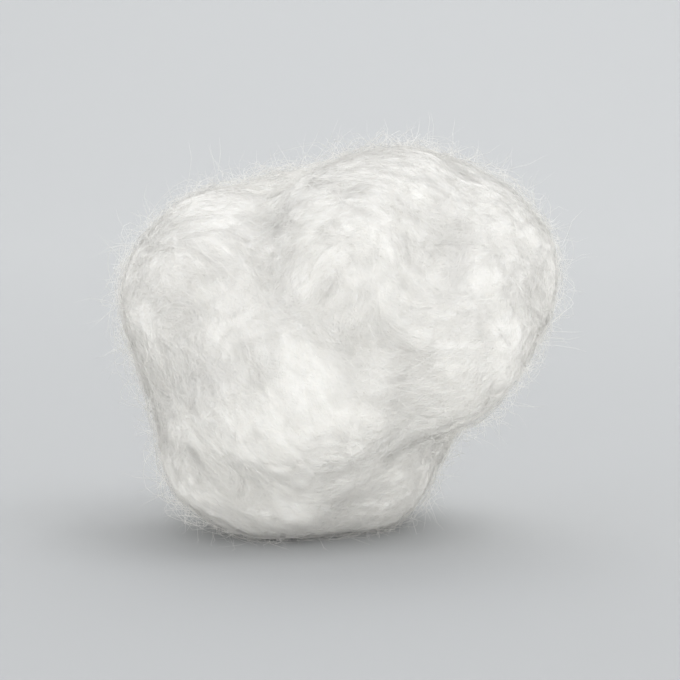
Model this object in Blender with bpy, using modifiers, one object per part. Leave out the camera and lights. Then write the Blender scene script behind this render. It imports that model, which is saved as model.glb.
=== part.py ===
"""A cotton wool ball: one tuft of carded cotton, rolled into a soft and uneven ball.

The ball is one closed body. Its cage is a grid of points on a sphere, moved out to a group of round puffs
that merge, roughened by small clumps, drawn in along the creases between its rolls of fibre, and flattened
where the ball rests. A Subdivision Surface modifier smooths it. Front is -Y, right is +X and up is +Z. The
origin is under the middle of the ball, on the surface that the ball rests on. Lengths are in metres and
angles in degrees.
"""

import math
import random
from dataclasses import dataclass

import bmesh
import bpy
from mathutils import Vector
from mathutils.geometry import intersect_point_line

MM = 0.001

# The plain egg that the puffs stand out from
EGG_WIDTH = 36.0 * MM
EGG_DEPTH = 33.0 * MM
EGG_HEIGHT = 32.0 * MM

# How far the flat that the ball rests on lies under the egg, and the height over which the underside
# rounds into it
FOOT_DROP = 1.0 * MM
FOOT_ROUNDING = 0.5 * MM

# A usual puff: its radius, how far it stands out from the egg, and the width of the soft valley where
# two puffs merge
PUFF_RADIUS = 9.3 * MM
PUFF_PROUD = 1.0 * MM
MERGE_WIDTH = 1.2 * MM

# Small clumps of fibre, spread evenly over the whole ball: their number, the most height or depth, and
# their size as an angle seen from the ball's middle
CLUMP_COUNT = 110
CLUMP_REACH = 0.6 * MM
CLUMP_SPREAD = 7.5
CLUMP_SEED = 4

# A usual crease: its depth, the straight pieces along its run, and how steeply its sides drop (2 is a
# round valley)
CREASE_DEPTH = 1.2 * MM
CREASE_PIECES = 12
CREASE_STEEPNESS = 1.5

# Cage: divisions along each edge of the cube that the sphere is made from
CAGE_DIVISIONS = 15
SMOOTHING_LEVELS = 1

COTTON_COLOUR = (0.85, 0.85, 0.82, 1.0)
COTTON_ROUGHNESS = 0.95


@dataclass(frozen=True)
class Spot:
    """A place on the ball as seen from its middle.

    turn goes round the front outline from the right through the top, and lean goes from the outline
    towards the front, or towards the back if it is negative.
    """

    turn: float
    lean: float

    def direction(self):
        turn, lean = math.radians(self.turn), math.radians(self.lean)
        return Vector((
            math.cos(turn) * math.cos(lean),
            -math.sin(lean),
            math.sin(turn) * math.cos(lean),
        ))


@dataclass(frozen=True)
class Puff:
    """A round swelling: its place, how far it stands out from the egg and its size.

    proud and size are told in usual puffs, and a puff with a negative proud stays inside the egg.
    """

    spot: Spot
    proud: float
    size: float

    def surface_along(self, direction):
        """Distance from the ball's middle to the puff's outer surface, or None where the ray misses."""
        outward = self.spot.direction()
        radius = self.size * PUFF_RADIUS
        middle = outward * (egg_radius(outward) + self.proud * PUFF_PROUD - radius)
        along = direction.dot(middle)
        inside = along * along - middle.length_squared + radius * radius
        if inside < 0.0:
            return None
        return along + math.sqrt(inside)


@dataclass(frozen=True)
class Clump:
    """A small, low swelling of the surface, or a hollow where reach is negative."""

    middle: Vector
    reach: float

    def swell(self, direction):
        angle = math.degrees(self.middle.angle(direction))
        return self.reach * math.exp(-((angle / CLUMP_SPREAD) ** 2))


class Crease:
    """A valley between two rolls of fibre, which runs through three spots and fades out at both ends.

    deep is told in usual creases, and width is an angle seen from the ball's middle.
    """

    def __init__(self, start, middle, end, deep, width):
        self.depth = deep * CREASE_DEPTH
        self.width = math.radians(width)
        start, middle, end = start.direction(), middle.direction(), end.direction()
        pull = 2.0 * middle - (start + end) / 2.0
        self.run = []
        for step in range(CREASE_PIECES + 1):
            gone = step / CREASE_PIECES
            left = 1.0 - gone
            point = start * left * left + pull * 2.0 * gone * left + end * gone * gone
            self.run.append(point.normalized())

    def sink(self, direction):
        nearest, gone = math.inf, 0.0
        for step in range(CREASE_PIECES):
            _, share = intersect_point_line(direction, self.run[step], self.run[step + 1])
            share = min(1.0, max(0.0, share))
            aside = direction.angle(self.run[step].lerp(self.run[step + 1], share))
            if aside < nearest:
                nearest, gone = aside, (step + share) / CREASE_PIECES
        fade = math.sin(math.pi * gone)
        return self.depth * fade * math.exp(-((nearest / self.width) ** CREASE_STEEPNESS))


PUFFS = {
    "left_shoulder": Puff(Spot(164, 8), -0.3, 1.06),
    "crest": Puff(Spot(38, 9), 1.2, 1.14),
    "brow": Puff(Spot(63, 52), 0.8, 1.0),
    "right": Puff(Spot(21, -1), 2.4, 0.89),
    "right_front": Puff(Spot(1, 33), 0.2, 0.9),
    "belly": Puff(Spot(233, 63), 1.5, 0.99),
    "lower_left": Puff(Spot(239, 16), 2.7, 1.05),
    "toe": Puff(Spot(276, -2), 2.4, 0.76),
    "recess": Puff(Spot(294, 4), -2.2, 0.88),
    "back_top": Puff(Spot(124, -55), 0.8, 1.0),
    "back_left": Puff(Spot(201, -41), 1.2, 1.01),
    "back_right": Puff(Spot(8, -50), 2.1, 1.01),
    "back_low": Puff(Spot(258, -36), 3.3, 1.06),
    "back_low_right": Puff(Spot(297, -38), 1.0, 0.92),
}

CREASES = {
    "waist": Crease(Spot(201, -8), Spot(243, 44), Spot(312, 20), 0.8, 8.0),
    "under_right": Crease(Spot(352, -44), Spot(334, -8), Spot(296, 40), 1.0, 9.0),
    "front": Crease(Spot(184, 26), Spot(172, 85), Spot(12, 50), 0.75, 8.0),
    "crest_right": Crease(Spot(50, -6), Spot(45, 38), Spot(17, 62), 0.8, 8.0),
    "crest_left": Crease(Spot(104, -40), Spot(120, 46), Spot(164, 64), 0.9, 8.0),
    "left_side": Crease(Spot(150, -6), Spot(182, -30), Spot(206, -62), 0.9, 8.5),
    "back_roll": Crease(Spot(68, -14), Spot(136, -70), Spot(222, -34), 1.25, 9.0),
    "back_low": Crease(Spot(346, -34), Spot(300, -62), Spot(236, -56), 1.1, 9.0),
    "back_right": Crease(Spot(36, -36), Spot(16, -64), Spot(330, -70), 0.8, 8.5),
}


def make_clumps():
    """Small swellings and hollows at even steps along a spiral from the top to the bottom."""
    rng = random.Random(CLUMP_SEED)
    golden_turn = math.pi * (3.0 - math.sqrt(5.0))
    clumps = []
    for step in range(CLUMP_COUNT):
        height = 1.0 - (2.0 * step + 1.0) / CLUMP_COUNT
        around = math.sqrt(1.0 - height * height)
        turn = golden_turn * step
        middle = Vector((around * math.cos(turn), around * math.sin(turn), height))
        clumps.append(Clump(middle, rng.uniform(-CLUMP_REACH, CLUMP_REACH)))
    return clumps


CLUMPS = make_clumps()


def egg_radius(direction):
    """Distance from the ball's middle to the plain egg."""
    return 0.5 / math.sqrt(
        (direction.x / EGG_WIDTH) ** 2
        + (direction.y / EGG_DEPTH) ** 2
        + (direction.z / EGG_HEIGHT) ** 2
    )


def ball_radius(direction):
    """Distance from the ball's middle to its surface: all puffs merged, then clumped and creased."""
    reaches = [puff.surface_along(direction) for puff in PUFFS.values()]
    total = sum(math.exp(reach / MERGE_WIDTH) for reach in reaches if reach is not None)
    merged = MERGE_WIDTH * math.log(total)
    rough = sum(clump.swell(direction) for clump in CLUMPS)
    sunk = sum(crease.sink(direction) for crease in CREASES.values())
    return merged + rough - sunk


def pressed_height(height):
    """Height of a point once the ball rests: never under the surface, and rounded where it meets it."""
    if height >= FOOT_ROUNDING:
        return height
    if height <= -FOOT_ROUNDING:
        return 0.0
    return (height + FOOT_ROUNDING) ** 2 / (4.0 * FOOT_ROUNDING)


def spread_evenly(point):
    """Turns a point on the cube's surface into a direction, with the grid's cells nearly equal."""
    quarter = math.pi / 4.0
    return Vector([math.tan(quarter * value) for value in point]).normalized()


def clear_scene():
    for obj in list(bpy.data.objects):
        bpy.data.objects.remove(obj, do_unlink=True)


def make_cage():
    """The ball's cage: a cube's surface divided into a grid, with each point moved out to the ball."""
    bm = bmesh.new()
    bmesh.ops.create_cube(bm, size=2.0)
    bmesh.ops.subdivide_edges(bm, edges=bm.edges[:], cuts=CAGE_DIVISIONS - 1, use_grid_fill=True)
    middle_height = EGG_HEIGHT / 2.0 + FOOT_DROP
    for vert in bm.verts:
        direction = spread_evenly(vert.co)
        vert.co = direction * ball_radius(direction)
        vert.co.z = pressed_height(vert.co.z + middle_height)
    bmesh.ops.recalc_face_normals(bm, faces=bm.faces[:])
    mesh = bpy.data.meshes.new("cotton_ball")
    bm.to_mesh(mesh)
    bm.free()
    mesh.shade_smooth()
    return mesh


def cotton_material():
    material = bpy.data.materials.new("cotton_wool")
    material.use_nodes = True
    shader = material.node_tree.nodes["Principled BSDF"]
    shader.inputs["Base Color"].default_value = COTTON_COLOUR
    shader.inputs["Roughness"].default_value = COTTON_ROUGHNESS
    shader.inputs["Metallic"].default_value = 0.0
    return material


def smoothed_bounds(obj):
    """Lowest and highest corner of the object's mesh as its modifiers leave it."""
    bpy.context.view_layer.update()
    evaluated = obj.evaluated_get(bpy.context.evaluated_depsgraph_get())
    points = [vert.co.copy() for vert in evaluated.to_mesh().vertices]
    evaluated.to_mesh_clear()
    low = Vector([min(point[axis] for point in points) for axis in range(3)])
    high = Vector([max(point[axis] for point in points) for axis in range(3)])
    return low, high


def make_cotton_ball(collection):
    """The ball, placed so that the origin is under its middle and its foot is on the surface."""
    ball = bpy.data.objects.new("cotton_ball", make_cage())
    collection.objects.link(ball)
    ball.data.materials.append(cotton_material())
    smoothing = ball.modifiers.new("smoothing", "SUBSURF")
    smoothing.levels = SMOOTHING_LEVELS
    smoothing.render_levels = SMOOTHING_LEVELS
    low, high = smoothed_bounds(ball)
    ball.location = Vector((-(low.x + high.x) / 2.0, -(low.y + high.y) / 2.0, -low.z))
    return ball


def main():
    clear_scene()
    collection = bpy.data.collections.new("cotton_wool_ball")
    bpy.context.scene.collection.children.link(collection)
    make_cotton_ball(collection)


main()
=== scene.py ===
"""A ball of white carded cotton wool, dressed with its matted fibres, loops, fuzz and flyaway fibres.

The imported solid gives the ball's puffs, creases and flat foot. The body is that solid with the clumps,
wisps and streaks of carded fibre raised on it. Fibres lie over it in locks, rise and come back in loops,
stand up as fuzz and fly away from it. Front is -Y, right is +X and up is +Z, in metres.
"""

import math

import bpy
import numpy as np
from bpy.props import FloatProperty, FloatVectorProperty, IntProperty, PointerProperty
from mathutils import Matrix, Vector, noise
from mathutils.bvhtree import BVHTree


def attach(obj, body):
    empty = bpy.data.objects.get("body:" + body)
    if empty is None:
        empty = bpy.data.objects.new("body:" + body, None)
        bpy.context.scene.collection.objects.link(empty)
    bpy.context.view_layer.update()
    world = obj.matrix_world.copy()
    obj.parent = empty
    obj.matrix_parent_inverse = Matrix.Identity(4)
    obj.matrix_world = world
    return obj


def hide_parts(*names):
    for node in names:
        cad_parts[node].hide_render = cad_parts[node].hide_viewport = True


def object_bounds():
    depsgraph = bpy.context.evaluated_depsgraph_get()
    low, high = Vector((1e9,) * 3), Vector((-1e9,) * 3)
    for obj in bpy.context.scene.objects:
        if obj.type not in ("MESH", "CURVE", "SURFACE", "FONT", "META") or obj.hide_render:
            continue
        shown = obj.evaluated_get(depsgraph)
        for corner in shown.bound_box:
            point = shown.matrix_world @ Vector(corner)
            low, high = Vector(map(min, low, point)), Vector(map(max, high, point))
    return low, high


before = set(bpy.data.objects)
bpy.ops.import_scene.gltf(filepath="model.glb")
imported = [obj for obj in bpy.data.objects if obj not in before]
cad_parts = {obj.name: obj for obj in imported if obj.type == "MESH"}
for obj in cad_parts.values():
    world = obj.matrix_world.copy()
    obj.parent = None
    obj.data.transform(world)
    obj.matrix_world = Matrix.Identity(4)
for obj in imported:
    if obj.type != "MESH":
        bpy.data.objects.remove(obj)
solid_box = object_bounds()

bl_info = {
    "name": "Cotton wool ball",
    "version": (1, 0, 0),
    "blender": (4, 5, 0),
    "location": "View3D > Sidebar > Cotton",
    "description": "Dresses a ball of carded cotton wool with its fibres and sets it on a plain stage",
    "category": "Add Mesh",
}

MM = 0.001

# The imported solid that the body stands for
SOLID = "cotton_ball"

# How deep the ends of standing fibres are set in the body, and how far fibres stay above the floor
ROOT_DEPTH = 0.05 * MM
FLOOR_CLEARANCE = 0.03 * MM

# Width of a fibre's tips, as a share of its full width
TIP_SHARE = 0.4

# Share of a fibre's strip of its UV map that stays bare along each edge
STRIP_MARGIN = 0.06


def linear(hex_colour):
    """An sRGB hex colour as linear red, green and blue."""
    channels = [int(hex_colour[start:start + 2], 16) / 255.0 for start in (1, 3, 5)]
    return tuple(
        value / 12.92 if value <= 0.04045 else ((value + 0.055) / 1.055) ** 2.4 for value in channels
    )


class CottonBodySettings(bpy.types.PropertyGroup):
    """Sizes of the ball's own surface."""

    grain: FloatProperty(
        name="Grain", description="Spacing of the points of the body's surface",
        default=0.27 * MM, unit="LENGTH", precision=5,
    )
    clump_size: FloatProperty(
        name="Clump size", description="Usual width of a soft clump of fibre",
        default=4.5 * MM, unit="LENGTH", precision=5,
    )
    clump_height: FloatProperty(
        name="Clump height", description="How far clumps rise and hollows sink",
        default=0.24 * MM, unit="LENGTH", precision=5,
    )
    wisp_width: FloatProperty(
        name="Wisp width", description="Width of a soft roll of fibres",
        default=1.5 * MM, unit="LENGTH", precision=5,
    )
    wisp_height: FloatProperty(
        name="Wisp height", description="How far wisps rise from the grooves between them",
        default=0.10 * MM, unit="LENGTH", precision=5,
    )
    streak_width: FloatProperty(
        name="Streak width", description="Width of a streak of fibres lying side by side",
        default=0.5 * MM, unit="LENGTH", precision=5,
    )
    streak_height: FloatProperty(
        name="Streak height", description="How far streaks rise from the grooves between them",
        default=0.045 * MM, unit="LENGTH", precision=5,
    )


class CottonFibreSettings(bpy.types.PropertyGroup):
    """Sizes and numbers of the fibres. A real one is about 0.02 mm wide, too fine to show."""

    width: FloatProperty(
        name="Fibre width", description="Width that fibres are drawn at, so that they show",
        default=0.036 * MM, unit="LENGTH", precision=6,
    )
    lock_count: IntProperty(
        name="Locks", description="Number of locks of matted fibres, in each of two layers", default=600,
    )
    lock_fibres: IntProperty(
        name="Fibres in a lock", description="Number of fibres side by side in a lock", default=7,
    )
    lock_length: FloatProperty(
        name="Lock length", description="Usual length of a matted fibre",
        default=9.0 * MM, unit="LENGTH", precision=5,
    )
    loop_count: IntProperty(
        name="Loops", description="Number of fibres that rise and come back, in each of two layers",
        default=2900,
    )
    loop_length: FloatProperty(
        name="Loop length", description="Usual length of such a fibre",
        default=6.5 * MM, unit="LENGTH", precision=5,
    )
    fuzz_count: IntProperty(name="Fuzz", description="Number of short curled fibres", default=10500)
    fuzz_length: FloatProperty(
        name="Fuzz length", description="Usual length of a short fibre",
        default=1.9 * MM, unit="LENGTH", precision=5,
    )
    flyaway_count: IntProperty(name="Flyaways", description="Number of long loose fibres", default=420)
    flyaway_length: FloatProperty(
        name="Flyaway length", description="Usual length of a long loose fibre",
        default=6.5 * MM, unit="LENGTH", precision=5,
    )


class CottonColourSettings(bpy.types.PropertyGroup):
    """Colours of the cotton and the stage."""

    cotton: FloatVectorProperty(
        name="Cotton", description="Bleached cotton where it is clean and open",
        default=linear("#F9F8F6"), subtype="COLOR", min=0.0, max=1.0,
    )
    cotton_shade: FloatVectorProperty(
        name="Cotton shade", description="Bleached cotton where it is matted",
        default=linear("#F2F1ED"), subtype="COLOR", min=0.0, max=1.0,
    )
    stage: FloatVectorProperty(
        name="Stage", description="Floor and backdrop",
        default=linear("#B2B4B6"), subtype="COLOR", min=0.0, max=1.0,
    )
    stage_light: FloatVectorProperty(
        name="Stage light", description="Colour of the light that floor and backdrop throw on the ball",
        default=linear("#F4F4F2"), subtype="COLOR", min=0.0, max=1.0,
    )
    distance: FloatVectorProperty(
        name="Distance", description="What is seen past the edges of the floor and backdrop",
        default=linear("#CFD2D4"), subtype="COLOR", min=0.0, max=1.0,
    )


def unit(vectors):
    """Vectors of length one, along the last axis."""
    lengths = np.linalg.norm(vectors, axis=-1, keepdims=True)
    return vectors / np.maximum(lengths, 1e-12)


class Lay:
    """The direction that the carded fibres run in.

    They wind round the ball about an axis that waves of several lengths sway from place to place.
    """

    MAIN_AXIS = np.array((0.55, 0.15, 0.8))
    WAVES = 9
    SHORTEST_WAVE = 7.0 * MM
    LONGEST_WAVE = 36.0 * MM
    SWAY = 0.65
    SWAY_GROWTH = 0.7
    SEED = 11

    def __init__(self):
        rng = np.random.default_rng(self.SEED)
        lengths = np.geomspace(self.SHORTEST_WAVE, self.LONGEST_WAVE, self.WAVES)[:, None]
        self.waves = unit(rng.normal(size=(self.WAVES, 3))) * 2.0 * math.pi / lengths
        self.phases = rng.uniform(0.0, 2.0 * math.pi, self.WAVES)
        growth = (lengths / self.LONGEST_WAVE) ** self.SWAY_GROWTH
        self.axes = rng.normal(size=(self.WAVES, 3)) * self.SWAY * growth

    def along(self, points, normals):
        """The direction of the fibres at points on a surface with those normals."""
        swing = np.sin(points @ self.waves.T + self.phases)
        axes = self.MAIN_AXIS + swing @ self.axes
        return unit(np.cross(axes, normals))


def read_points(mesh):
    """The places of the mesh's points."""
    points = np.empty(len(mesh.vertices) * 3)
    mesh.vertices.foreach_get("co", points)
    return points.reshape(-1, 3)


def read_normals(mesh):
    """The normals at the mesh's points."""
    normals = np.empty(len(mesh.vertices) * 3)
    mesh.vertex_normals.foreach_get("vector", normals)
    return normals.reshape(-1, 3)


def noise_at(points, size):
    """Smooth noise between about -1 and 1, with swells of that size."""
    return np.array([noise.noise(point) for point in (points / size).tolist()])


def clumps_at(points, size):
    """Noise with swells of that size and two layers of smaller ones on them."""
    fading, finer, layers = 1.1, 2.1, 3
    spots = (points / size).tolist()
    return np.array([noise.fractal(spot, fading, finer, layers) for spot in spots])


def streaks_at(points, normals, lay, width, reach):
    """Noise drawn out along the fibres for reach to either side, which forms streaks from about -1 to 1."""
    total = noise_at(points, width)
    steps = max(1, round(reach / width))
    for way in (-width, width):
        spots = points
        for _ in range(steps):
            spots = spots + way * lay.along(spots, normals)
            total += noise_at(spots, width)
    total /= 1 + 2 * steps
    return total / (2.0 * total.std())


def add_object(name, mesh):
    """A new object in the scene with that mesh."""
    piece = bpy.data.objects.new(name, mesh)
    bpy.context.scene.collection.objects.link(piece)
    return piece


def finish_piece(piece, material):
    """Gives a piece its material and the body that it rides on."""
    piece.data.materials.clear()
    piece.data.materials.append(material)
    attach(piece, "root")


def evaluated_mesh(piece):
    """A new mesh of the piece as its modifiers leave it."""
    bpy.context.view_layer.update()
    depsgraph = bpy.context.evaluated_depsgraph_get()
    return bpy.data.meshes.new_from_object(piece.evaluated_get(depsgraph))


def tree_of(mesh):
    """A search tree of the mesh's faces."""
    polygons = [tuple(polygon.vertices) for polygon in mesh.polygons]
    return BVHTree.FromPolygons([tuple(vertex.co) for vertex in mesh.vertices], polygons)


class Surface:
    """The body's surface for fibres to lie on, with normals from the smooth solid under it."""

    def __init__(self, body_mesh, smooth_mesh):
        self.mesh = body_mesh
        self.body = tree_of(body_mesh)
        self.smooth = tree_of(smooth_mesh)
        self.smooth_normals = read_normals(smooth_mesh)
        self.smooth_faces = [tuple(polygon.vertices) for polygon in smooth_mesh.polygons]

    def nearest(self, points):
        """The nearest points of the body and the smooth solid's normals there."""
        spots = np.empty_like(points)
        normals = np.empty_like(points)
        for row, point in enumerate(points.tolist()):
            spots[row] = self.body.find_nearest(point)[0]
            face = self.smooth.find_nearest(point)[2]
            normals[row] = self.smooth_normals[self.smooth_faces[face][0]]
        return spots, unit(normals)

    def scatter(self, count, rng):
        """Random points of the body, as many on each part as its area asks."""
        areas = np.empty(len(self.mesh.polygons))
        self.mesh.polygons.foreach_get("area", areas)
        centres = np.empty(len(self.mesh.polygons) * 3)
        self.mesh.polygons.foreach_get("center", centres)
        chosen = rng.choice(len(areas), count, p=areas / areas.sum())
        return centres.reshape(-1, 3)[chosen]


def smoothed_runs(runs, passes):
    """Runs of points with their bends eased, and their ends kept."""
    runs = runs.copy()
    for _ in range(passes):
        runs[:, 1:-1] = 0.5 * runs[:, 1:-1] + 0.25 * (runs[:, :-2] + runs[:, 2:])
    return runs


def lay_out_strips(mesh, places, count):
    """A UV map with a strip of its own for each fibre, in rows, so that a baked colour fits every fibre.

    places holds where each corner of one fibre's faces lies in its strip, from 0 to 1 both ways.
    """
    across = math.ceil(math.sqrt(count))
    number = np.arange(count)
    strip = np.stack([number % across, number // across], axis=1)
    spots = (strip[:, None, None] + STRIP_MARGIN + (1.0 - 2.0 * STRIP_MARGIN) * places) / across
    layer = mesh.uv_layers.new(name="OFBake")
    layer.data.foreach_set("uv", spots.ravel().astype(np.float32))


def fibre_mesh(name, runs, outward, widths, roundness):
    """One mesh of closed three-sided fibres that end in points, each with a flat side away from the ball.

    runs holds each fibre's points, outward the direction away from the ball there, and widths the width.
    Roundness 0 shades a fibre as the ball under it, so that it blends in as one of a mass of fine ones,
    and 1 shades it as a round fibre by itself.
    """
    count, length = runs.shape[:2]
    along = unit(np.gradient(runs, axis=1))
    across = unit(np.cross(along, outward))
    above = np.cross(across, along)
    points, facing = [runs[:, :1]], [outward[:, :1]]
    # Corners at 30, 150 and 270 degrees leave the flat side between the first two facing away from the ball
    for corner in range(3):
        angle = math.radians(30.0 + 120.0 * corner)
        offset = math.cos(angle) * across + math.sin(angle) * above
        points.append((runs + 0.5 * widths[..., None] * offset)[:, 1:-1])
        facing.append(unit((1.0 - roundness) * outward + roundness * offset)[:, 1:-1])
    points = np.concatenate([*points, runs[:, -1:]], axis=1)
    facing = np.concatenate([*facing, outward[:, -1:]], axis=1)
    rings = length - 2
    faces, places = [], []
    for corner in range(3):
        here, beside = 1 + rings * corner, 1 + rings * ((corner + 1) % 3)
        low, high = corner, corner + 1
        faces.append((0, here, beside))
        places.append(((0, low + 0.5), (1, low), (1, high)))
        for ring in range(rings - 1):
            faces.append((here + ring, beside + ring + 1, beside + ring))
            places.append(((ring + 1, low), (ring + 2, high), (ring + 1, high)))
            faces.append((here + ring, here + ring + 1, beside + ring + 1))
            places.append(((ring + 1, low), (ring + 2, low), (ring + 2, high)))
        faces.append((here + rings - 1, 1 + 3 * rings, beside + rings - 1))
        places.append(((rings, low), (rings + 1, low + 0.5), (rings, high)))
    faces = np.array(faces)
    all_faces = (faces[None] + (points.shape[1] * np.arange(count))[:, None, None]).reshape(-1, 3)
    mesh = bpy.data.meshes.new(name)
    mesh.from_pydata(points.reshape(-1, 3), [], all_faces)
    mesh.shade_smooth()
    lay_out_strips(mesh, np.array(places) / (rings + 1.0, 3.0), count)
    mesh.normals_split_custom_set_from_vertices(facing.reshape(-1, 3))
    return mesh


def tapered(width, count, length, least):
    """Widths along fibres, full in the middle and falling to a share of that at the ends."""
    share = np.sin(np.linspace(0.0, math.pi, length)) ** 0.5
    return width * (least + (1.0 - least) * share) * np.ones((count, 1))


def kept_above(runs, floor_height):
    """The same points with none lower than that height."""
    runs[..., 2] = np.maximum(runs[..., 2], floor_height)
    return runs


def laid_runs(surface, starts, headings, lengths, steps, rng, wander):
    """Runs of points that creep over the surface from their starts, with a wandering heading.

    headings are angles from the lay of the fibres, in radians. wander is how much a heading's drift changes
    at each step. Part of the drift is kept from one step to the next, so that fibres bend and don't kink.
    """
    drift_kept = 0.6
    lay = Lay()
    spots, normals = surface.nearest(starts)
    points, outward = [spots], [normals]
    turn = headings.copy()
    drift = np.zeros(len(starts))
    for _ in range(steps - 1):
        along = lay.along(spots, normals)
        aside = np.cross(normals, along)
        way = np.cos(turn)[:, None] * along + np.sin(turn)[:, None] * aside
        spots, normals = surface.nearest(spots + way * (lengths / (steps - 1))[:, None])
        points.append(spots)
        outward.append(normals)
        drift = drift_kept * drift + rng.normal(0.0, wander, len(starts))
        turn = turn + drift
    return np.stack(points, axis=1), np.stack(outward, axis=1)


def either_way(count, rng):
    """No turn or a half turn, by chance, so that fibres run both ways along the lay."""
    return np.where(rng.random(count) < 0.5, 0.0, math.pi)


def length_shares(count, evenness, most, rng):
    """Random shares of a usual length, up to most. The larger the evenness, the closer they are to 1."""
    return np.minimum(rng.gamma(evenness, 1.0 / evenness, count), most)


def add_node(tree, kind, inputs=(), links=(), **settings):
    """A node with its settings, its input values and its links from other nodes' sockets."""
    node = tree.nodes.new(kind)
    for name, value in settings.items():
        setattr(node, name, value)
    for name, value in dict(inputs).items():
        node.inputs[name].default_value = value
    for name, socket in dict(links).items():
        tree.links.new(socket, node.inputs[name])
    return node


def new_material(name):
    """A material with no nodes yet."""
    material = bpy.data.materials.new(name)
    material.use_nodes = True
    material.node_tree.nodes.clear()
    return material


def grain_along(tree, place, lay_name, width, reach):
    """A node socket with noise drawn out along the fibres' lay, which gives fine streaks of that width.

    It adds the noise at reach places before and reach places behind, each most of a width from the next.
    """
    step_share = 0.8
    lay = add_node(tree, "ShaderNodeAttribute", attribute_name=lay_name)
    total = None
    for step in range(-reach, reach + 1):
        shift = (step_share * step * width,) * 3
        spot = add_node(
            tree, "ShaderNodeVectorMath", {1: shift},
            {0: lay.outputs["Vector"], 2: place}, operation="MULTIPLY_ADD",
        )
        grain = add_node(
            tree, "ShaderNodeTexNoise", {"Scale": 1.0 / width, "Detail": 1.0, "Roughness": 0.5},
            {"Vector": spot.outputs["Vector"]},
        )
        if total is None:
            total = grain.outputs["Fac"]
        else:
            links = {0: total, 1: grain.outputs["Fac"]}
            total = add_node(tree, "ShaderNodeMath", links=links, operation="ADD").outputs["Value"]
    return total


def cotton_whites(tree, place, colours, size, detail):
    """A node socket that drifts between the cotton's two whites, in patches of about that size."""
    matting = add_node(
        tree, "ShaderNodeTexNoise", {"Scale": 1.0 / size, "Detail": detail, "Roughness": 0.6},
        {"Vector": place},
    )
    colour = add_node(
        tree, "ShaderNodeMix", {"A": (*colours.cotton, 1.0), "B": (*colours.cotton_shade, 1.0)},
        {"Factor": matting.outputs["Fac"]}, data_type="RGBA",
    )
    return colour.outputs["Result"]


# Carded cotton wool, bleached and matted: dull and white all through, so light sinks in, comes back soft
# and fills the creases, with a faint bloom at grazing angles from the fuzz.
def carded_cotton_material(colours):
    material = new_material("carded cotton wool")
    tree = material.node_tree
    place = add_node(tree, "ShaderNodeTexCoord").outputs["Object"]
    colour = cotton_whites(tree, place, colours, 6.0 * MM, 4.0)
    # Fibres are about 0.02 mm wide, too fine to show, so their grain is drawn 0.2 mm wide
    grain = grain_along(tree, place, "lay", 0.20 * MM, 3)
    crossing = grain_along(tree, place, "cross_lay", 0.16 * MM, 2)
    both = add_node(tree, "ShaderNodeMath", links={0: grain, 1: crossing}, operation="ADD")
    bump = add_node(
        tree, "ShaderNodeBump", {"Strength": 1.0, "Distance": 0.04 * MM}, {"Height": both.outputs["Value"]},
    )
    shader = add_node(
        tree, "ShaderNodeBsdfPrincipled",
        {
            "Roughness": 0.95, "Specular IOR Level": 0.2, "Subsurface Weight": 0.5,
            "Subsurface Radius": (1.0, 0.97, 0.93), "Subsurface Scale": 0.8 * MM,
            "Sheen Weight": 0.5, "Sheen Roughness": 0.5,
        },
        {"Base Color": colour, "Normal": bump.outputs["Normal"]},
    )
    add_node(tree, "ShaderNodeOutputMaterial", links={"Surface": shader.outputs["BSDF"]})
    return material


# A single cotton fibre: a flat, dull, white ribbon without gloss. Its faint bloom at grazing angles keeps
# the fuzz pale at the rim.
def cotton_fibre_material(colours):
    material = new_material("cotton fibre")
    tree = material.node_tree
    place = add_node(tree, "ShaderNodeTexCoord").outputs["Object"]
    shader = add_node(
        tree, "ShaderNodeBsdfPrincipled",
        {"Roughness": 0.9, "Specular IOR Level": 0.2, "Sheen Weight": 0.6, "Sheen Roughness": 0.4},
        {"Base Color": cotton_whites(tree, place, colours, 3.0 * MM, 3.0)},
    )
    add_node(tree, "ShaderNodeOutputMaterial", links={"Surface": shader.outputs["BSDF"]})
    return material


def lit_and_seen(tree, lit, seen):
    """A node socket with one colour for the light that falls on the ball and another for what is seen."""
    ray = add_node(tree, "ShaderNodeLightPath")
    either = add_node(
        tree, "ShaderNodeMath",
        links={0: ray.outputs["Is Camera Ray"], 1: ray.outputs["Is Glossy Ray"]}, operation="MAXIMUM",
    )
    any_of = add_node(
        tree, "ShaderNodeMath",
        links={0: either.outputs["Value"], 1: ray.outputs["Is Transmission Ray"]}, operation="MAXIMUM",
    )
    colour = add_node(
        tree, "ShaderNodeMix", {"A": (*lit, 1.0), "B": (*seen, 1.0)},
        {"Factor": any_of.outputs["Value"]}, data_type="RGBA",
    )
    return colour.outputs["Result"]


# Matt studio paper: its white lights the ball's underside as a pale surface does, and it is seen a little
# darker, so that the white ball stands out from it.
def studio_paper_material(colours):
    material = new_material("matt studio paper")
    tree = material.node_tree
    shader = add_node(
        tree, "ShaderNodeBsdfPrincipled", {"Roughness": 0.95, "Specular IOR Level": 0.1},
        {"Base Color": lit_and_seen(tree, colours.stage_light, colours.stage)},
    )
    add_node(tree, "ShaderNodeOutputMaterial", links={"Surface": shader.outputs["BSDF"]})
    return material


def material_once(name, make, context):
    """The material of that name, made if it isn't there yet."""
    return bpy.data.materials.get(name) or make(context.scene.cotton_colours)


# Holds the body's surface once the body is added, for the fibres to lie on
made = {}


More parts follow.
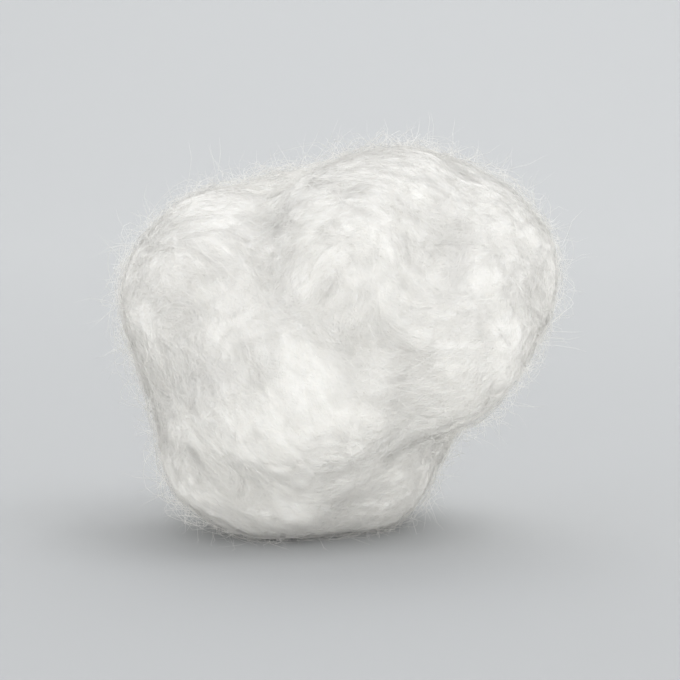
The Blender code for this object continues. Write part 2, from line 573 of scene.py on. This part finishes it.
class COTTON_OT_add_body(bpy.types.Operator):
    """Add the ball's body, with its clumps, wisps and streaks of carded fibre"""

    bl_idname = "cotton.add_body"
    bl_label = "Add the body"

    EASE_PASSES = 24
    WISP_REACH = 4.5 * MM
    STREAK_REACH = 2.5 * MM
    # Height over which the relief fades out towards the flat foot
    FOOT_FADE = 1.5 * MM
    # Fibres that cross the lay: their usual angle from it, how much that changes and over what length
    CROSS_ANGLE = 0.9
    CROSS_CHANGE = 0.5
    CROSS_SIZE = 3.0 * MM

    def execute(self, context):
        sizes = context.scene.cotton_body
        smooth_mesh = self.smooth_solid(sizes.grain)
        normals, lay = read_normals(smooth_mesh), Lay()
        points = self.raised_points(smooth_mesh, normals, lay, sizes)
        mesh = smooth_mesh.copy()
        mesh.name = "body"
        mesh.vertices.foreach_set("co", points.ravel())
        mesh.update()
        mesh.shade_smooth()
        self.store_lay(mesh, points, normals, lay)
        body = add_object("body", mesh)
        finish_piece(body, material_once("carded cotton wool", carded_cotton_material, context))
        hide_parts(SOLID)
        made["surface"] = Surface(mesh, smooth_mesh)
        return {"FINISHED"}

    def smooth_solid(self, grain):
        """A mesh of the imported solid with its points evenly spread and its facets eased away."""
        smooth = add_object("smooth_solid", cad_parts[SOLID].data.copy())
        remesh = smooth.modifiers.new("even grain", "REMESH")
        remesh.mode = "VOXEL"
        remesh.voxel_size = grain
        ease = smooth.modifiers.new("ease", "SMOOTH")
        ease.iterations = self.EASE_PASSES
        mesh = evaluated_mesh(smooth)
        bpy.data.objects.remove(smooth)
        return mesh

    def raised_points(self, mesh, normals, lay, sizes):
        """The mesh's points with the clumps, wisps and streaks raised on them."""
        points = read_points(mesh)
        wisps = streaks_at(points, normals, lay, sizes.wisp_width, self.WISP_REACH)
        streaks = streaks_at(points, normals, lay, sizes.streak_width, self.STREAK_REACH)
        rise = sizes.clump_height * clumps_at(points, sizes.clump_size)
        rise += sizes.wisp_height * wisps + sizes.streak_height * streaks
        fade = np.clip(points[:, 2] / self.FOOT_FADE, 0.0, 1.0)
        return kept_above(points + normals * (rise * fade)[:, None], 0.0)

    def store_lay(self, mesh, points, normals, lay):
        """Keeps the directions of the fibres, and of those that cross them, for the material's grain."""
        along = lay.along(points, normals)
        turn = self.CROSS_ANGLE + self.CROSS_CHANGE * noise_at(points, self.CROSS_SIZE)[:, None]
        across = np.cos(turn) * along + np.sin(turn) * np.cross(normals, along)
        for name, directions in (("lay", along), ("cross_lay", across)):
            attribute = mesh.attributes.new(name, "FLOAT_VECTOR", "POINT")
            attribute.data.foreach_set("vector", directions.ravel())


class COTTON_OT_add_locks(bpy.types.Operator):
    """Add the matted fibres, which lie over the body in locks"""

    bl_idname = "cotton.add_locks"
    bl_label = "Add the matted fibres"

    STEPS = 8
    LAYERS = 2
    SEED = 21
    SMOOTHING = 2
    # Angles from the lay in radians: of a lock, of a fibre in its lock, and a fibre's wander at each step
    LOCK_TURN, FIBRE_TURN, WANDER = 0.7, 0.25, 0.16
    # Shares of the usual length: of a lock, and of a fibre in its lock
    LOCK_SHARES, FIBRE_SHARES = (0.55, 1.3), (0.75, 1.2)
    # Lengths in mm: how far apart a lock's fibres start, how deep their ends lie and how far they rise
    SPREAD = (0.1, 0.7)
    END_DEPTH = 0.06
    LEAST_RISE, USUAL_RISE, MOST_RISE = 0.1, 0.2, 0.9
    ARCH_POWER = 0.7
    WIDTH_SHARES = (0.6, 1.25)
    ROUNDNESS = 0.5

    def execute(self, context):
        for layer in range(self.LAYERS):
            self.add_layer(context, layer)
        return {"FINISHED"}

    def add_layer(self, context, layer):
        sizes = context.scene.cotton_fibres
        surface = made["surface"]
        rng = np.random.default_rng(self.SEED + layer)
        locks, fibres = sizes.lock_count, sizes.lock_fibres
        count = locks * fibres
        lock_spread = rng.uniform(*self.SPREAD, locks) * MM
        starts = np.repeat(surface.scatter(locks, rng), fibres, axis=0)
        starts = starts + rng.normal(size=(count, 3)) * np.repeat(lock_spread, fibres)[:, None]
        headings = np.repeat(rng.normal(0.0, self.LOCK_TURN, locks), fibres)
        headings = headings + rng.normal(0.0, self.FIBRE_TURN, count)
        headings += np.repeat(either_way(locks, rng), fibres)
        lengths = np.repeat(rng.uniform(*self.LOCK_SHARES, locks), fibres) * sizes.lock_length
        lengths = lengths * rng.uniform(*self.FIBRE_SHARES, count)
        runs, outward = laid_runs(surface, starts, headings, lengths, self.STEPS, rng, self.WANDER)
        runs = smoothed_runs(runs, self.SMOOTHING)
        arch = np.sin(np.linspace(0.0, math.pi, self.STEPS)) ** self.ARCH_POWER
        rise = self.LEAST_RISE + np.minimum(rng.exponential(self.USUAL_RISE, count), self.MOST_RISE)
        lift = (rise[:, None] * arch - self.END_DEPTH) * MM
        runs = kept_above(runs + outward * lift[..., None], FLOOR_CLEARANCE)
        widths = tapered(sizes.width, count, self.STEPS, TIP_SHARE)
        widths = widths * rng.uniform(*self.WIDTH_SHARES, (count, 1))
        mesh = fibre_mesh("matted fibres", runs, outward, widths, self.ROUNDNESS)
        piece = add_object(f"matted_fibres_{layer + 1}", mesh)
        finish_piece(piece, material_once("cotton fibre", cotton_fibre_material, context))


class COTTON_OT_add_loops(bpy.types.Operator):
    """Add the loops, fibres that rise from the body and come back to it"""

    bl_idname = "cotton.add_loops"
    bl_label = "Add the loops"

    STEPS = 10
    LAYERS = 2
    SEED = 51
    SMOOTHING = 3
    # Angles in radians: from the lay, and the wander at each step
    TURN, WANDER = 1.1, 0.26
    LENGTH_EVENNESS, MOST_LENGTH = 6.0, 1.9
    # Lengths in mm: how far loops rise, and how far they sway to the side
    LEAST_RISE, USUAL_RISE, MOST_RISE = 0.15, 0.42, 1.9
    SWAY, SWAY_SMOOTHING = 0.6, 6
    ARCH_POWER = 0.8
    SKEW = 0.35
    WIDTH, WIDTH_SHARES = 0.7, (0.6, 1.1)

    def execute(self, context):
        for layer in range(self.LAYERS):
            self.add_layer(context, layer)
        return {"FINISHED"}

    def add_layer(self, context, layer):
        sizes = context.scene.cotton_fibres
        surface = made["surface"]
        rng = np.random.default_rng(self.SEED + layer)
        count = sizes.loop_count
        starts = surface.scatter(count, rng)
        headings = rng.normal(0.0, self.TURN, count) + either_way(count, rng)
        lengths = length_shares(count, self.LENGTH_EVENNESS, self.MOST_LENGTH, rng) * sizes.loop_length
        runs, outward = laid_runs(surface, starts, headings, lengths, self.STEPS, rng, self.WANDER)
        runs = smoothed_runs(runs, self.SMOOTHING)
        share = np.linspace(0.0, 1.0, self.STEPS)
        rise = np.minimum(self.LEAST_RISE + rng.exponential(self.USUAL_RISE, count), self.MOST_RISE) * MM
        skew = rng.uniform(-self.SKEW, self.SKEW, (count, 1))
        arch = np.sin(math.pi * share) ** self.ARCH_POWER + skew * np.sin(2.0 * math.pi * share)
        lift = rise[:, None] * arch - ROOT_DEPTH
        sway = smoothed_runs(rng.normal(size=(count, self.STEPS, 3)), self.SWAY_SMOOTHING) * self.SWAY * MM
        sway = sway * np.sin(math.pi * share)[None, :, None]
        runs = kept_above(runs + outward * lift[..., None] + sway, FLOOR_CLEARANCE)
        widths = tapered(self.WIDTH * sizes.width, count, self.STEPS, TIP_SHARE)
        widths = widths * rng.uniform(*self.WIDTH_SHARES, (count, 1))
        piece = add_object(f"loops_{layer + 1}", fibre_mesh("loops", runs, outward, widths, 1.0))
        finish_piece(piece, material_once("cotton fibre", cotton_fibre_material, context))


class COTTON_OT_add_fuzz(bpy.types.Operator):
    """Add the fuzz, short fibres that stand up from the body"""

    bl_idname = "cotton.add_fuzz"
    bl_label = "Add the fuzz"

    STEPS = 5
    SEED = 31
    # Angle from the lay in radians, and how steeply a fibre stands up from the body, as rise over run
    TURN, STAND = 1.0, (0.2, 1.3)
    LENGTH_EVENNESS, MOST_LENGTH = 3.0, 2.0
    # Shares of a fibre's length that it bends and curls by, and how much the bend leans back to the body
    BEND, CURL, LEAN = 0.5, 0.09, 0.5
    WIDTH, WIDTH_SHARES = 0.65, (0.6, 1.1)

    def execute(self, context):
        sizes = context.scene.cotton_fibres
        surface = made["surface"]
        rng = np.random.default_rng(self.SEED)
        count = sizes.fuzz_count
        starts, normals = surface.nearest(surface.scatter(count, rng))
        along = Lay().along(starts, normals)
        aside = np.cross(normals, along)
        turn = rng.normal(0.0, self.TURN, count) + either_way(count, rng)
        flat = np.cos(turn)[:, None] * along + np.sin(turn)[:, None] * aside
        stand = rng.uniform(*self.STAND, count)[:, None]
        first = unit(flat + stand * normals)
        bend = unit(rng.normal(size=(count, 3)) - self.LEAN * normals)
        curl = unit(rng.normal(size=(count, 3)))
        lengths = length_shares(count, self.LENGTH_EVENNESS, self.MOST_LENGTH, rng) * sizes.fuzz_length
        share = np.linspace(0.0, 1.0, self.STEPS)[None, :, None]
        path = share * first[:, None] + self.BEND * share ** 2 * bend[:, None]
        path = path + self.CURL * np.sin(2.0 * math.pi * share) * curl[:, None]
        runs = starts[:, None] + lengths[:, None, None] * path
        runs = kept_above(runs - ROOT_DEPTH * normals[:, None], FLOOR_CLEARANCE)
        outward = np.repeat(normals[:, None], self.STEPS, axis=1)
        widths = tapered(self.WIDTH * sizes.width, count, self.STEPS, TIP_SHARE)
        widths = widths * rng.uniform(*self.WIDTH_SHARES, (count, 1))
        piece = add_object("fuzz", fibre_mesh("fuzz", runs, outward, widths, 1.0))
        finish_piece(piece, material_once("cotton fibre", cotton_fibre_material, context))
        return {"FINISHED"}


class COTTON_OT_add_flyaways(bpy.types.Operator):
    """Add the flyaways, long loose fibres that loop away from the body"""

    bl_idname = "cotton.add_flyaways"
    bl_label = "Add the flyaway fibres"

    STEPS = 14
    SEED = 41
    SMOOTHING = 4
    WANDER = 0.2
    LENGTH_EVENNESS = 5.0
    # Share of the fibres that end in the air, and how late their ends lift. The others come back
    FREE_SHARE, FREE_POWER = 0.45, 1.3
    # Lengths in mm, but for the first: how far the fibres rise, and how far they sway to the side
    RISE_EVENNESS, RISE_SCALE, MOST_RISE = 2.0, 0.42, 2.4
    SWAY, SWAY_SMOOTHING = 1.1, 5
    ARCH_POWER = 0.8
    CLEARANCE = 0.05 * MM
    WIDTH, WIDTH_SHARES = 0.7, (0.7, 1.1)
    THICK_TIP_SHARE = 0.5

    def execute(self, context):
        sizes = context.scene.cotton_fibres
        surface = made["surface"]
        rng = np.random.default_rng(self.SEED)
        count = sizes.flyaway_count
        starts = surface.scatter(count, rng)
        headings = rng.uniform(0.0, 2.0 * math.pi, count)
        lengths = length_shares(count, self.LENGTH_EVENNESS, math.inf, rng) * sizes.flyaway_length
        runs, outward = laid_runs(surface, starts, headings, lengths, self.STEPS, rng, self.WANDER)
        runs = smoothed_runs(runs, self.SMOOTHING)
        share = np.linspace(0.0, 1.0, self.STEPS)
        free_end = rng.random(count) < self.FREE_SHARE
        loop = np.sin(math.pi * share) ** self.ARCH_POWER
        tail = share ** self.FREE_POWER
        rise = np.minimum(rng.gamma(self.RISE_EVENNESS, self.RISE_SCALE, count), self.MOST_RISE) * MM
        lift = rise[:, None] * np.where(free_end[:, None], tail, loop) - ROOT_DEPTH
        sway = smoothed_runs(rng.normal(size=(count, self.STEPS, 3)), self.SWAY_SMOOTHING) * self.SWAY * MM
        sway = sway * loop[None, :, None]
        runs = kept_above(runs + outward * lift[..., None] + sway, self.CLEARANCE)
        widths = tapered(self.WIDTH * sizes.width, count, self.STEPS, self.THICK_TIP_SHARE)
        widths = widths * rng.uniform(*self.WIDTH_SHARES, (count, 1))
        piece = add_object("flyaway_fibres", fibre_mesh("flyaway fibres", runs, outward, widths, 1.0))
        finish_piece(piece, material_once("cotton fibre", cotton_fibre_material, context))
        return {"FINISHED"}


class COTTON_OT_add_stage(bpy.types.Operator):
    """Add the floor and backdrop, the lamps and the camera"""

    bl_idname = "cotton.add_stage"
    bl_label = "Add the stage"

    FLOOR_WIDTH = 3.0
    FLOOR_FRONT = -1.2
    BACKDROP_START = 0.35
    BACKDROP_BEND = 0.35
    BACKDROP_TOP = 1.6
    BEND_STEPS = 16
    # Lamps: name, place and side in metres, and power in watts
    LAMPS = (
        ("key", (0.5, -0.2, 1.05), 0.7, 3.0),
        ("left_fill", (-0.9, -0.4, 0.3), 0.55, 0.3),
        ("low_fill", (0.0, -1.05, 0.2), 0.4, 1.6),
        ("back_fill", (0.05, 0.42, 0.55), 0.6, 1.8),
    )
    EVEN_LIGHT = 0.85
    # Camera: lens and sensor in mm, distance from the ball's middle in metres, and angle above level
    LENS = 135.0
    SENSOR = 36.0
    CAMERA_DISTANCE = 0.215
    CAMERA_ELEVATION = 6.0

    def execute(self, context):
        self.add_floor(context)
        self.add_lamps(context)
        self.add_camera(context)
        return {"FINISHED"}

    def add_floor(self, context):
        """A floor that bends up into a backdrop, as one sheet of studio paper does."""
        profile = [(self.FLOOR_FRONT, 0.0)]
        for step in range(self.BEND_STEPS + 1):
            angle = 0.5 * math.pi * step / self.BEND_STEPS
            profile.append((
                self.BACKDROP_START + self.BACKDROP_BEND * math.sin(angle),
                self.BACKDROP_BEND * (1.0 - math.cos(angle)),
            ))
        profile.append((self.BACKDROP_START + self.BACKDROP_BEND, self.BACKDROP_TOP))
        half = self.FLOOR_WIDTH / 2.0
        points = [(side, back, up) for back, up in profile for side in (-half, half)]
        faces = [(2 * row, 2 * row + 1, 2 * row + 3, 2 * row + 2) for row in range(len(profile) - 1)]
        mesh = bpy.data.meshes.new("floor")
        mesh.from_pydata(points, [], faces)
        mesh.shade_smooth()
        floor = bpy.data.objects.new("floor", mesh)
        context.scene.collection.objects.link(floor)
        mesh.materials.append(studio_paper_material(context.scene.cotton_colours))

    def add_lamps(self, context):
        """A broad key over the upper right, fills at the left, low in front and behind, and even light."""
        middle = Vector((0.0, 0.0, 0.5 * (solid_box[0][2] + solid_box[1][2])))
        for name, place, size, power in self.LAMPS:
            data = bpy.data.lights.new(name, "AREA")
            data.shape = "SQUARE"
            data.size = size
            data.energy = power
            lamp = bpy.data.objects.new(name, data)
            lamp.location = place
            lamp.rotation_euler = (middle - Vector(place)).to_track_quat("-Z", "Y").to_euler()
            context.scene.collection.objects.link(lamp)
        world = bpy.data.worlds.new("even light")
        world.use_nodes = True
        tree = world.node_tree
        even = (self.EVEN_LIGHT, self.EVEN_LIGHT, self.EVEN_LIGHT)
        colour = lit_and_seen(tree, even, context.scene.cotton_colours.distance)
        tree.links.new(colour, tree.nodes["Background"].inputs["Color"])
        context.scene.world = world

    def add_camera(self, context):
        """A camera straight in front and a little above, as the photograph shows the ball."""
        low, high = (Vector(corner) for corner in solid_box)
        middle = (low + high) / 2.0
        data = bpy.data.cameras.new("camera")
        data.lens = self.LENS
        data.sensor_width = self.SENSOR
        elevation = math.radians(self.CAMERA_ELEVATION)
        camera = bpy.data.objects.new("camera", data)
        outward = Vector((0.0, -math.cos(elevation), math.sin(elevation)))
        camera.location = middle + self.CAMERA_DISTANCE * outward
        camera.rotation_euler = (middle - camera.location).to_track_quat("-Z", "Y").to_euler()
        context.scene.collection.objects.link(camera)
        context.scene.camera = camera


class COTTON_PT_panel(bpy.types.Panel):
    """Lists the ball's pieces, sizes and colours"""

    bl_idname = "COTTON_PT_panel"
    bl_label = "Cotton wool ball"
    bl_space_type = "VIEW_3D"
    bl_region_type = "UI"
    bl_category = "Cotton"

    def draw(self, context):
        for group_name in GROUPS:
            group = getattr(context.scene, group_name)
            box = self.layout.box()
            for name in group.bl_rna.properties.keys():
                if name not in ("rna_type", "name"):
                    box.prop(group, name)
        for operator in OPERATORS:
            self.layout.operator(operator.bl_idname)


GROUPS = {
    "cotton_body": CottonBodySettings,
    "cotton_fibres": CottonFibreSettings,
    "cotton_colours": CottonColourSettings,
}
OPERATORS = (
    COTTON_OT_add_body,
    COTTON_OT_add_locks,
    COTTON_OT_add_loops,
    COTTON_OT_add_fuzz,
    COTTON_OT_add_flyaways,
    COTTON_OT_add_stage,
)


def register():
    for kind in (*GROUPS.values(), *OPERATORS, COTTON_PT_panel):
        bpy.utils.register_class(kind)
    for name, group in GROUPS.items():
        setattr(bpy.types.Scene, name, PointerProperty(type=group))


def unregister():
    for name in GROUPS:
        delattr(bpy.types.Scene, name)
    for kind in (COTTON_PT_panel, *reversed(OPERATORS), *GROUPS.values()):
        bpy.utils.unregister_class(kind)


def main():
    register()
    bpy.ops.cotton.add_stage()
    bpy.ops.cotton.add_body()
    bpy.ops.cotton.add_locks()
    bpy.ops.cotton.add_loops()
    bpy.ops.cotton.add_fuzz()
    bpy.ops.cotton.add_flyaways()
    bpy.context.scene.view_settings.view_transform = "Standard"


if __name__ == "__main__":
    main()
